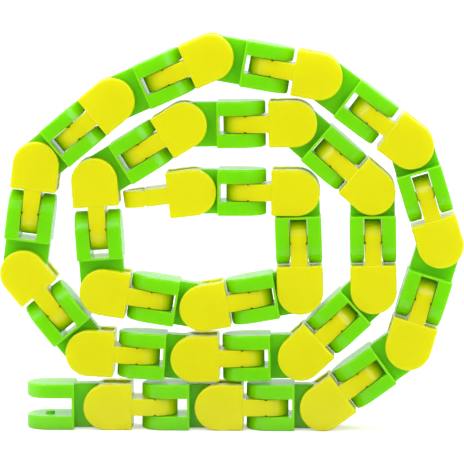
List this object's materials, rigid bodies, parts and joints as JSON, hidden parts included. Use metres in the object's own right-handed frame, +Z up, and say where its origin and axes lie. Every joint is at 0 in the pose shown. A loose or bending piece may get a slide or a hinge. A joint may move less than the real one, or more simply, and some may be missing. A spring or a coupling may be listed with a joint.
{
  "type": "fidget track toy",
  "caption": "Snap-together chain of two-colour plastic links with hinges crossed at right angles, wound into a flat upright coil that can be unrolled or twisted.",
  "frame": {"origin": "centre of the coil's footprint box, on the surface that its bottom row stands on", "axes": "+X to the right along the bottom row towards the coil's rising side, +Z up, +Y through the coil from front to back"},
  "size_m": [0.1102, 0.011, 0.0946],
  "materials": {
    "green_plastic": "glossy injection-moulded ABS, bright lime green",
    "yellow_plastic": "glossy injection-moulded ABS, bright lemon yellow"
  },
  "bodies": {
    "green_link_01": {"green_link_01": "green_plastic"},
    "yellow_link_01": {"yellow_link_01": "yellow_plastic"},
    "green_link_02": {"green_link_02": "green_plastic"},
    "yellow_link_02": {"yellow_link_02": "yellow_plastic"},
    "green_link_03": {"green_link_03": "green_plastic"},
    "yellow_link_03": {"yellow_link_03": "yellow_plastic"},
    "green_link_04": {"green_link_04": "green_plastic"},
    "yellow_link_04": {"yellow_link_04": "yellow_plastic"},
    "green_link_05": {"green_link_05": "green_plastic"},
    "yellow_link_05": {"yellow_link_05": "yellow_plastic"},
    "green_link_06": {"green_link_06": "green_plastic"},
    "yellow_link_06": {"yellow_link_06": "yellow_plastic"},
    "green_link_07": {"green_link_07": "green_plastic"},
    "yellow_link_07": {"yellow_link_07": "yellow_plastic"},
    "green_link_08": {"green_link_08": "green_plastic"},
    "yellow_link_08": {"yellow_link_08": "yellow_plastic"},
    "green_link_09": {"green_link_09": "green_plastic"},
    "yellow_link_09": {"yellow_link_09": "yellow_plastic"},
    "green_link_10": {"green_link_10": "green_plastic"},
    "yellow_link_10": {"yellow_link_10": "yellow_plastic"},
    "green_link_11": {"green_link_11": "green_plastic"},
    "yellow_link_11": {"yellow_link_11": "yellow_plastic"},
    "green_link_12": {"green_link_12": "green_plastic"},
    "yellow_link_12": {"yellow_link_12": "yellow_plastic"},
    "green_link_13": {"green_link_13": "green_plastic"},
    "yellow_link_13": {"yellow_link_13": "yellow_plastic"},
    "green_link_14": {"green_link_14": "green_plastic"},
    "yellow_link_14": {"yellow_link_14": "yellow_plastic"},
    "green_link_15": {"green_link_15": "green_plastic"},
    "yellow_link_15": {"yellow_link_15": "yellow_plastic"},
    "green_link_16": {"green_link_16": "green_plastic"},
    "yellow_link_16": {"yellow_link_16": "yellow_plastic"},
    "green_link_17": {"green_link_17": "green_plastic"},
    "yellow_link_17": {"yellow_link_17": "yellow_plastic"},
    "green_link_18": {"green_link_18": "green_plastic"},
    "yellow_link_18": {"yellow_link_18": "yellow_plastic"},
    "green_link_19": {"green_link_19": "green_plastic"},
    "yellow_link_19": {"yellow_link_19": "yellow_plastic"},
    "green_link_20": {"green_link_20": "green_plastic"},
    "yellow_link_20": {"yellow_link_20": "yellow_plastic"},
    "green_link_21": {"green_link_21": "green_plastic"},
    "yellow_link_21": {"yellow_link_21": "yellow_plastic"},
    "green_link_22": {"green_link_22": "green_plastic"},
    "yellow_link_22": {"yellow_link_22": "yellow_plastic"},
    "green_link_23": {"green_link_23": "green_plastic"},
    "yellow_link_23": {"yellow_link_23": "yellow_plastic"},
    "green_link_24": {"green_link_24": "green_plastic"},
    "yellow_link_24": {"yellow_link_24": "yellow_plastic"}
  },
  "joints": [
    {"name": "roll_hinge_01", "type": "hinge", "parent": "yellow_link_01", "child": "green_link_01", "pos_m": [-0.0299, 0, 0.0055], "axis": [0, 1, 0], "range_deg": [-90, 15]},
    {"name": "side_hinge_02", "type": "hinge", "parent": "green_link_02", "child": "yellow_link_01", "pos_m": [-0.0161, 0, 0.0055], "axis": [0, 0, 1], "range_deg": [-90, 90]},
    {"name": "roll_hinge_03", "type": "hinge", "parent": "yellow_link_02", "child": "green_link_02", "pos_m": [-0.0033, 0, 0.0055], "axis": [0, 1, 0], "range_deg": [-90, 0]},
    {"name": "side_hinge_04", "type": "hinge", "parent": "green_link_03", "child": "yellow_link_02", "pos_m": [0.009, 0, 0.0055], "axis": [0, 0, -1], "range_deg": [-90, 90]},
    {"name": "roll_hinge_05", "type": "hinge", "parent": "yellow_link_03", "child": "green_link_03", "pos_m": [0.0218, 0, 0.0055], "axis": [0, -1, 0], "range_deg": [-54, 126]},
    {"name": "side_hinge_06", "type": "hinge", "parent": "green_link_04", "child": "yellow_link_03", "pos_m": [0.03135, 0, 0.01244], "axis": [0.5878, 0, -0.809], "range_deg": [-90, 90]},
    {"name": "roll_hinge_07", "type": "hinge", "parent": "yellow_link_04", "child": "green_link_04", "pos_m": [0.04211, 0, 0.02025], "axis": [0, -1, 0], "range_deg": [-53, 127]},
    {"name": "side_hinge_08", "type": "hinge", "parent": "green_link_05", "child": "yellow_link_04", "pos_m": [0.04556, 0, 0.03154], "axis": [-0.9563, 0, 0.2924], "range_deg": [-90, 90]},
    {"name": "roll_hinge_09", "type": "hinge", "parent": "yellow_link_05", "child": "green_link_05", "pos_m": [0.04959, 0, 0.04473], "axis": [0, -1, 0], "range_deg": [-56, 124]},
    {"name": "side_hinge_10", "type": "hinge", "parent": "green_link_06", "child": "yellow_link_05", "pos_m": [0.046, 0, 0.0565], "axis": [0.9563, 0, 0.2924], "range_deg": [-90, 90]},
    {"name": "roll_hinge_11", "type": "hinge", "parent": "yellow_link_06", "child": "green_link_06", "pos_m": [0.0424, 0, 0.06826], "axis": [0, -1, 0], "range_deg": [-54, 126]},
    {"name": "side_hinge_12", "type": "hinge", "parent": "green_link_07", "child": "yellow_link_06", "pos_m": [0.03218, 0, 0.07596], "axis": [-0.6018, 0, -0.7986], "range_deg": [-15, 15]},
    {"name": "roll_hinge_13", "type": "hinge", "parent": "yellow_link_07", "child": "green_link_07", "pos_m": [0.02076, 0, 0.08457], "axis": [0, -1, 0], "range_deg": [-63, 117]},
    {"name": "side_hinge_14", "type": "hinge", "parent": "green_link_08", "child": "yellow_link_07", "pos_m": [0.00864, 0, 0.08671], "axis": [0.1736, 0, 0.9848], "range_deg": [-40, 40]},
    {"name": "unroll", "type": "hinge", "parent": "yellow_link_08", "child": "green_link_08", "pos_m": [-0.00495, 0, 0.0891], "axis": [0, -1, 0], "range_deg": [0, 38]},
    {"name": "side_hinge_16", "type": "hinge", "parent": "yellow_link_08", "child": "green_link_09", "pos_m": [-0.01573, 0, 0.0843], "axis": [-0.4067, 0, 0.9135], "range_deg": [-25, 25]},
    {"name": "roll_hinge_17", "type": "hinge", "parent": "green_link_09", "child": "yellow_link_09", "pos_m": [-0.02833, 0, 0.07869], "axis": [0, 1, 0], "range_deg": [-74, 106]},
    {"name": "side_hinge_18", "type": "hinge", "parent": "yellow_link_09", "child": "green_link_10", "pos_m": [-0.03737, 0, 0.0711], "axis": [0.6428, 0, -0.766], "range_deg": [-15, 15]},
    {"name": "roll_hinge_19", "type": "hinge", "parent": "green_link_10", "child": "yellow_link_10", "pos_m": [-0.04641, 0, 0.06352], "axis": [0, 1, 0], "range_deg": [-47, 133]},
    {"name": "side_hinge_20", "type": "hinge", "parent": "yellow_link_10", "child": "green_link_11", "pos_m": [-0.04791, 0, 0.05131], "axis": [-0.9925, 0, 0.1219], "range_deg": [-90, 90]},
    {"name": "roll_hinge_21", "type": "hinge", "parent": "green_link_11", "child": "yellow_link_11", "pos_m": [-0.04959, 0, 0.03761], "axis": [0, 1, 0], "range_deg": [-44, 136]},
    {"name": "side_hinge_22", "type": "hinge", "parent": "yellow_link_11", "child": "green_link_12", "pos_m": [-0.04185, 0, 0.02805], "axis": [0.7771, 0, 0.6293], "range_deg": [-15, 15]},
    {"name": "roll_hinge_23", "type": "hinge", "parent": "green_link_12", "child": "yellow_link_12", "pos_m": [-0.03411, 0, 0.0185], "axis": [0, 1, 0], "range_deg": [-42, 138]},
    {"name": "side_hinge_24", "type": "hinge", "parent": "yellow_link_12", "child": "green_link_13", "pos_m": [-0.02183, 0, 0.01785], "axis": [-0.0523, 0, -0.9986], "range_deg": [-30, 30]},
    {"name": "roll_hinge_25", "type": "hinge", "parent": "green_link_13", "child": "yellow_link_13", "pos_m": [-0.00905, 0, 0.01718], "axis": [0, 1, 0], "range_deg": [-86, 94]},
    {"name": "side_hinge_26", "type": "hinge", "parent": "yellow_link_13", "child": "green_link_14", "pos_m": [0.00325, 0, 0.0174], "axis": [-0.0175, 0, 0.9998], "range_deg": [-90, 90]},
    {"name": "roll_hinge_27", "type": "hinge", "parent": "green_link_14", "child": "yellow_link_14", "pos_m": [0.01655, 0, 0.01763], "axis": [0, 1, 0], "range_deg": [-48, 132]},
    {"name": "side_hinge_28", "type": "hinge", "parent": "yellow_link_14", "child": "green_link_15", "pos_m": [0.02518, 0, 0.02568], "axis": [0.682, 0, -0.7314], "range_deg": [-75, 75]},
    {"name": "roll_hinge_29", "type": "hinge", "parent": "green_link_15", "child": "yellow_link_15", "pos_m": [0.03381, 0, 0.03372], "axis": [0, 1, 0], "range_deg": [-42, 138]},
    {"name": "side_hinge_30", "type": "hinge", "parent": "yellow_link_15", "child": "green_link_16", "pos_m": [0.0336, 0, 0.04552], "axis": [-0.9998, 0, -0.0175], "range_deg": [-90, 90]},
    {"name": "roll_hinge_31", "type": "hinge", "parent": "green_link_16", "child": "yellow_link_16", "pos_m": [0.0334, 0, 0.05732], "axis": [0, 1, 0], "range_deg": [-42, 138]},
    {"name": "side_hinge_32", "type": "hinge", "parent": "yellow_link_16", "child": "green_link_17", "pos_m": [0.02449, 0, 0.06506], "axis": [0.6561, 0, 0.7547], "range_deg": [-20, 20]},
    {"name": "roll_hinge_33", "type": "hinge", "parent": "green_link_17", "child": "yellow_link_17", "pos_m": [0.01483, 0, 0.07346], "axis": [0, 1, 0], "range_deg": [-48, 132]},
    {"name": "side_hinge_34", "type": "hinge", "parent": "yellow_link_17", "child": "green_link_18", "pos_m": [0.00253, 0, 0.07324], "axis": [0.0175, 0, -0.9998], "range_deg": [-90, 90]},
    {"name": "roll_hinge_35", "type": "hinge", "parent": "green_link_18", "child": "yellow_link_18", "pos_m": [-0.01126, 0, 0.073], "axis": [0, 1, 0], "range_deg": [-59, 121]},
    {"name": "side_hinge_36", "type": "hinge", "parent": "yellow_link_18", "child": "green_link_19", "pos_m": [-0.02127, 0, 0.06675], "axis": [-0.5299, 0, 0.848], "range_deg": [-60, 60]},
    {"name": "roll_hinge_37", "type": "hinge", "parent": "green_link_19", "child": "yellow_link_19", "pos_m": [-0.03255, 0, 0.0597], "axis": [0, 1, 0], "range_deg": [-28, 152]},
    {"name": "side_hinge_38", "type": "hinge", "parent": "yellow_link_19", "child": "green_link_20", "pos_m": [-0.03166, 0, 0.04693], "axis": [-0.9976, 0, -0.0698], "range_deg": [-90, 90]},
    {"name": "roll_hinge_39", "type": "hinge", "parent": "green_link_20", "child": "yellow_link_20", "pos_m": [-0.03069, 0, 0.03317], "axis": [0, 1, 0], "range_deg": [-13, 167]},
    {"name": "side_hinge_40", "type": "hinge", "parent": "yellow_link_20", "child": "green_link_21", "pos_m": [-0.01904, 0, 0.03132], "axis": [0.1564, 0, 0.9877], "range_deg": [-30, 30]},
    {"name": "roll_hinge_41", "type": "hinge", "parent": "green_link_21", "child": "yellow_link_21", "pos_m": [-0.00689, 0, 0.0294], "axis": [0, 1, 0], "range_deg": [-71, 109]},
    {"name": "side_hinge_42", "type": "hinge", "parent": "yellow_link_21", "child": "green_link_22", "pos_m": [0.00473, 0, 0.03145], "axis": [0.1736, 0, -0.9848], "range_deg": [-90, 90]},
    {"name": "roll_hinge_43", "type": "hinge", "parent": "green_link_22", "child": "yellow_link_22", "pos_m": [0.01635, 0, 0.0335], "axis": [0, 1, 0], "range_deg": [-8, 172]},
    {"name": "side_hinge_44", "type": "hinge", "parent": "yellow_link_22", "child": "green_link_23", "pos_m": [0.01594, 0, 0.04529], "axis": [0.9994, 0, 0.0349], "range_deg": [-90, 90]},
    {"name": "roll_hinge_45", "type": "hinge", "parent": "green_link_23", "child": "yellow_link_23", "pos_m": [0.01553, 0, 0.05708], "axis": [0, 1, 0], "range_deg": [-2, 178]},
    {"name": "side_hinge_46", "type": "hinge", "parent": "yellow_link_23", "child": "green_link_24", "pos_m": [0.00273, 0, 0.05708], "axis": [0, 0, -1], "range_deg": [-90, 90]},
    {"name": "roll_hinge_47", "type": "hinge", "parent": "green_link_24", "child": "yellow_link_24", "pos_m": [-0.00907, 0, 0.05708], "axis": [0, 1, 0], "range_deg": [-83, 0]}
  ],
  "couplings": [
    {"joint": "roll_hinge_05", "follows": "unroll", "ratio": 1.237},
    {"joint": "roll_hinge_07", "follows": "unroll", "ratio": 1.921},
    {"joint": "roll_hinge_09", "follows": "unroll", "ratio": 2.053},
    {"joint": "roll_hinge_11", "follows": "unroll", "ratio": 2},
    {"joint": "roll_hinge_13", "follows": "unroll", "ratio": 1.316},
    {"joint": "roll_hinge_17", "follows": "unroll", "ratio": 0.737},
    {"joint": "roll_hinge_19", "follows": "unroll", "ratio": 0.737},
    {"joint": "roll_hinge_21", "follows": "unroll", "ratio": 0.816},
    {"joint": "roll_hinge_23", "follows": "unroll", "ratio": 2.105},
    {"joint": "roll_hinge_25", "follows": "unroll", "ratio": 1.105},
    {"joint": "roll_hinge_27", "follows": "unroll", "ratio": 2.105},
    {"joint": "roll_hinge_29", "follows": "unroll", "ratio": 2.105},
    {"joint": "roll_hinge_31", "follows": "unroll", "ratio": 0.763},
    {"joint": "roll_hinge_33", "follows": "unroll", "ratio": 0.737},
    {"joint": "roll_hinge_35", "follows": "unroll", "ratio": 0.737},
    {"joint": "roll_hinge_37", "follows": "unroll", "ratio": 0.763},
    {"joint": "roll_hinge_39", "follows": "unroll", "ratio": 2.079},
    {"joint": "roll_hinge_41", "follows": "unroll", "ratio": 0.737},
    {"joint": "roll_hinge_43", "follows": "unroll", "ratio": 0.737},
    {"joint": "roll_hinge_45", "follows": "unroll", "ratio": 0.737}
  ]
}
